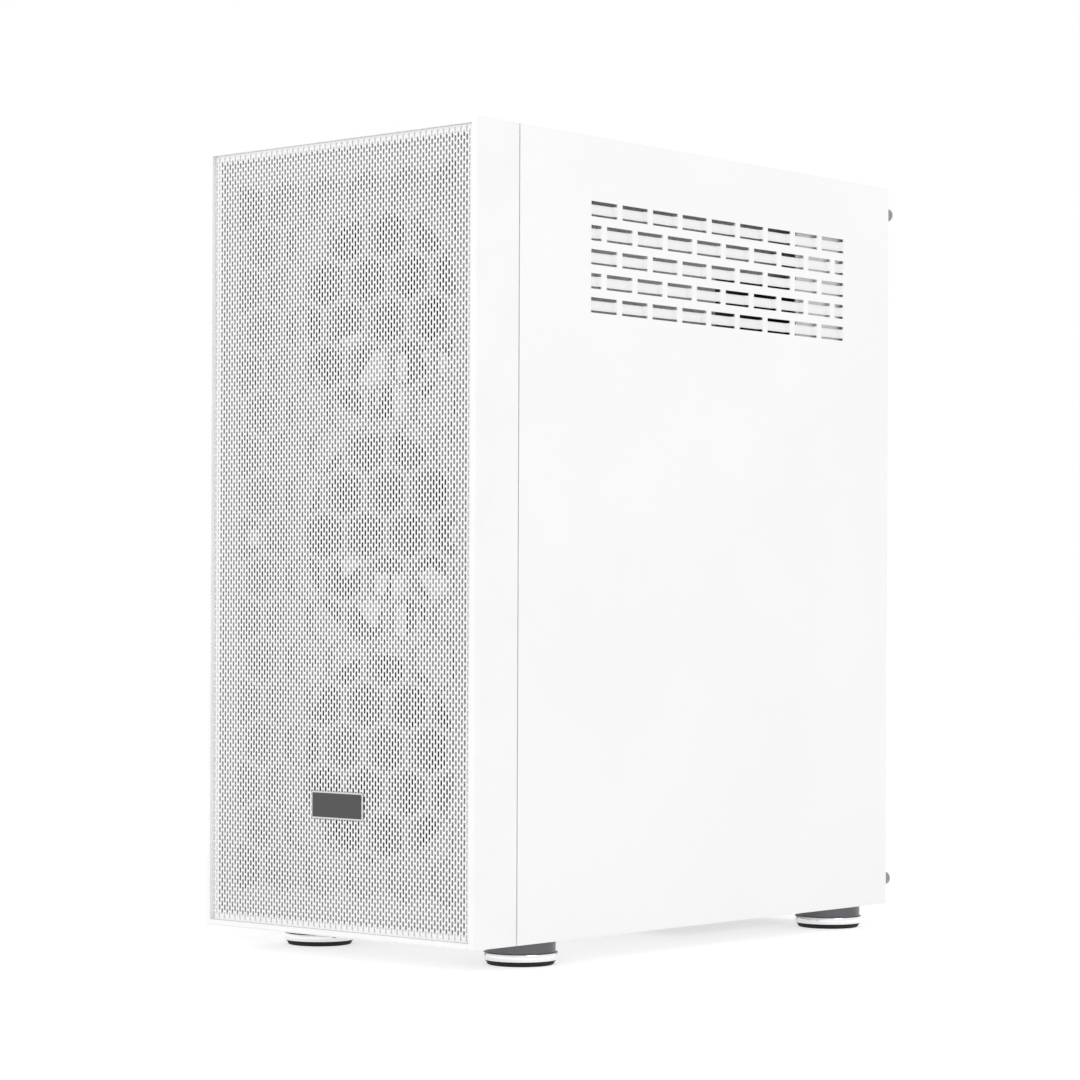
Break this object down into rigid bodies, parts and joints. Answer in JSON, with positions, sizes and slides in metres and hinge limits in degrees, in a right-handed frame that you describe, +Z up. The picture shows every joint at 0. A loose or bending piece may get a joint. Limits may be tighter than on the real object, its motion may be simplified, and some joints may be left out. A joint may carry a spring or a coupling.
{
  "type": "desktop computer tower",
  "caption": "White desktop computer tower with a perforated front over a honeycomb grid, a louvered steel side, a glass side, round chromed feet and its computer inside.",
  "frame": {"origin": "on the floor, under the middle of the whole object, thumbscrews included", "axes": "+Z up, the front face looks along -Y, +X to the right as seen from the front"},
  "size_m": [0.2, 0.3774, 0.4421],
  "materials": {
    "white_steel": "white powder coat, satin",
    "white_plastic": "white moulded ABS, fine satin",
    "mesh_steel": "white powder coat on perforated sheet",
    "badge": "glossy black with a bright rim",
    "glass": "tempered, lightly tinted",
    "chrome": "bright nickel plate",
    "screw_steel": "zinc plated",
    "rubber": "matte black",
    "fan_plastic": "white moulded frame",
    "fan_blades": "white translucent-looking blades",
    "black_plastic": "black moulded",
    "board": "black solder mask",
    "aluminium": "bare finned",
    "heatsink": "bead blasted",
    "copper": "nickel-free copper colour",
    "connector_steel": "tin plated shell",
    "dark_steel": "black painted, fine texture",
    "filter_mesh": "fine nylon mesh in a moulded frame",
    "drive_case": "cast and machined",
    "brass": "turned",
    "light": "clear light pipe"
  },
  "bodies": {
    "chassis": {"board_heatsinks": "heatsink", "board_standoffs": "brass", "case_fasteners": "screw_steel", "chassis_floor": "white_steel", "chassis_front_wall": "white_steel", "chassis_rear_wall": "white_steel", "chassis_roof": "white_steel", "control_board": "board", "cooler_base": "copper", "cooler_fan_frame": "fan_plastic", "cooler_fins": "aluminium", "drive_cage": "white_steel", "expansion_slots": "black_plastic", "foot_cups": "chrome", "foot_pads": "rubber", "front_fan_frames": "fan_plastic", "front_ports": "connector_steel", "graphics_board": "board", "graphics_bracket": "connector_steel", "graphics_shroud": "black_plastic", "hard_drive": "drive_case", "io_ports": "connector_steel", "io_shield": "connector_steel", "memory_modules": "heatsink", "memory_slots": "black_plastic", "motherboard": "board", "motherboard_tray": "white_steel", "power_sockets": "black_plastic", "processor_socket": "connector_steel", "psu_housing": "dark_steel", "psu_inlet": "black_plastic", "psu_shroud": "white_steel", "rear_fan_frame": "fan_plastic", "slot_covers": "white_steel", "solid_state_drive": "black_plastic", "status_light": "light"},
    "front_panel": {"front_bezel": "white_plastic", "panel_studs": "screw_steel", "honeycomb_grid": "white_plastic", "front_mesh": "mesh_steel", "badge": "badge"},
    "right_side": {"right_panel": "white_steel"},
    "left_side": {"left_glass": "glass", "left_frame": "white_steel"},
    "thumbscrew_right_lower": {"thumbscrew_right_lower": "chrome"},
    "thumbscrew_right_upper": {"thumbscrew_right_upper": "chrome"},
    "thumbscrew_left_lower": {"thumbscrew_left_lower": "chrome"},
    "thumbscrew_left_upper": {"thumbscrew_left_upper": "chrome"},
    "front_rotor_lower": {"front_fan_rotor_lower": "fan_blades"},
    "front_rotor_middle": {"front_fan_rotor_middle": "fan_blades"},
    "front_rotor_upper": {"front_fan_rotor_upper": "fan_blades"},
    "rear_rotor": {"rear_fan_rotor": "fan_blades"},
    "cooler_rotor": {"cooler_fan_rotor": "fan_blades"},
    "psu_rotor": {"psu_fan_rotor": "black_plastic"},
    "graphics_rotor": {"graphics_fan_rotor": "black_plastic"},
    "power_button": {"power_button": "white_plastic"},
    "reset_button": {"reset_button": "white_plastic"},
    "psu_switch": {"psu_rocker": "black_plastic"},
    "top_filter": {"top_filter": "filter_mesh"},
    "bottom_filter": {"bottom_filter": "filter_mesh"}
  },
  "joints": [
    {"name": "front_panel_pull", "type": "slide", "parent": "chassis", "child": "front_panel", "axis": [0, -1, 0], "range_m": [0, 0.06]},
    {"name": "right_panel_slide", "type": "slide", "parent": "chassis", "child": "right_side", "axis": [0, 1, 0], "range_m": [0, 0.02]},
    {"name": "left_panel_slide", "type": "slide", "parent": "chassis", "child": "left_side", "axis": [0, 1, 0], "range_m": [0, 0.02]},
    {"name": "thumbscrew_right_lower_turn", "type": "hinge", "parent": "right_side", "child": "thumbscrew_right_lower", "pos_m": [0.092, 0.17125, 0.0277], "axis": [0, 1, 0], "continuous": true},
    {"name": "thumbscrew_right_upper_turn", "type": "hinge", "parent": "right_side", "child": "thumbscrew_right_upper", "pos_m": [0.092, 0.17125, 0.427], "axis": [0, 1, 0], "continuous": true},
    {"name": "thumbscrew_left_lower_turn", "type": "hinge", "parent": "left_side", "child": "thumbscrew_left_lower", "pos_m": [-0.092, 0.17125, 0.0277], "axis": [0, 1, 0], "continuous": true},
    {"name": "thumbscrew_left_upper_turn", "type": "hinge", "parent": "left_side", "child": "thumbscrew_left_upper", "pos_m": [-0.092, 0.17125, 0.427], "axis": [0, 1, 0], "continuous": true},
    {"name": "front_fan_lower_spin", "type": "hinge", "parent": "chassis", "child": "front_rotor_lower", "pos_m": [0, -0.13875, 0.1075], "axis": [0, 1, 0], "continuous": true},
    {"name": "front_fan_middle_spin", "type": "hinge", "parent": "chassis", "child": "front_rotor_middle", "pos_m": [0, -0.13875, 0.2275], "axis": [0, 1, 0], "continuous": true},
    {"name": "front_fan_upper_spin", "type": "hinge", "parent": "chassis", "child": "front_rotor_upper", "pos_m": [0, -0.13875, 0.3475], "axis": [0, 1, 0], "continuous": true},
    {"name": "rear_fan_spin", "type": "hinge", "parent": "chassis", "child": "rear_rotor", "pos_m": [-0.0296, 0.16425, 0.3595], "axis": [0, 1, 0], "continuous": true},
    {"name": "cooler_fan_spin", "type": "hinge", "parent": "chassis", "child": "cooler_rotor", "pos_m": [-0.0101, 0.04625, 0.3505], "axis": [0, 1, 0], "continuous": true},
    {"name": "psu_fan_spin", "type": "hinge", "parent": "chassis", "child": "psu_rotor", "pos_m": [0, 0.10625, 0.0285], "axis": [0, 0, 1], "continuous": true},
    {"name": "graphics_fan_spin", "type": "hinge", "parent": "chassis", "child": "graphics_rotor", "pos_m": [0.0039, 0.09025, 0.21954], "axis": [0, 0, 1], "continuous": true},
    {"name": "power_button_press", "type": "slide", "parent": "chassis", "child": "power_button", "axis": [0, 0, -1], "range_m": [0, 0.001], "stiffness_N_per_m": 700, "springref_m": -0.0006},
    {"name": "reset_button_press", "type": "slide", "parent": "chassis", "child": "reset_button", "axis": [0, 0, -1], "range_m": [0, 0.001], "stiffness_N_per_m": 400, "springref_m": -0.0006},
    {"name": "psu_switch_rock", "type": "hinge", "parent": "chassis", "child": "psu_switch", "pos_m": [-0.0285, 0.17325, 0.0605], "axis": [1, 0, 0], "range_deg": [0, 14]},
    {"name": "top_filter_lift", "type": "slide", "parent": "chassis", "child": "top_filter", "axis": [0, 0, 1], "range_m": [0, 0.06]},
    {"name": "bottom_filter_slide", "type": "slide", "parent": "chassis", "child": "bottom_filter", "axis": [0, 1, 0], "range_m": [0, 0.13]}
  ]
}
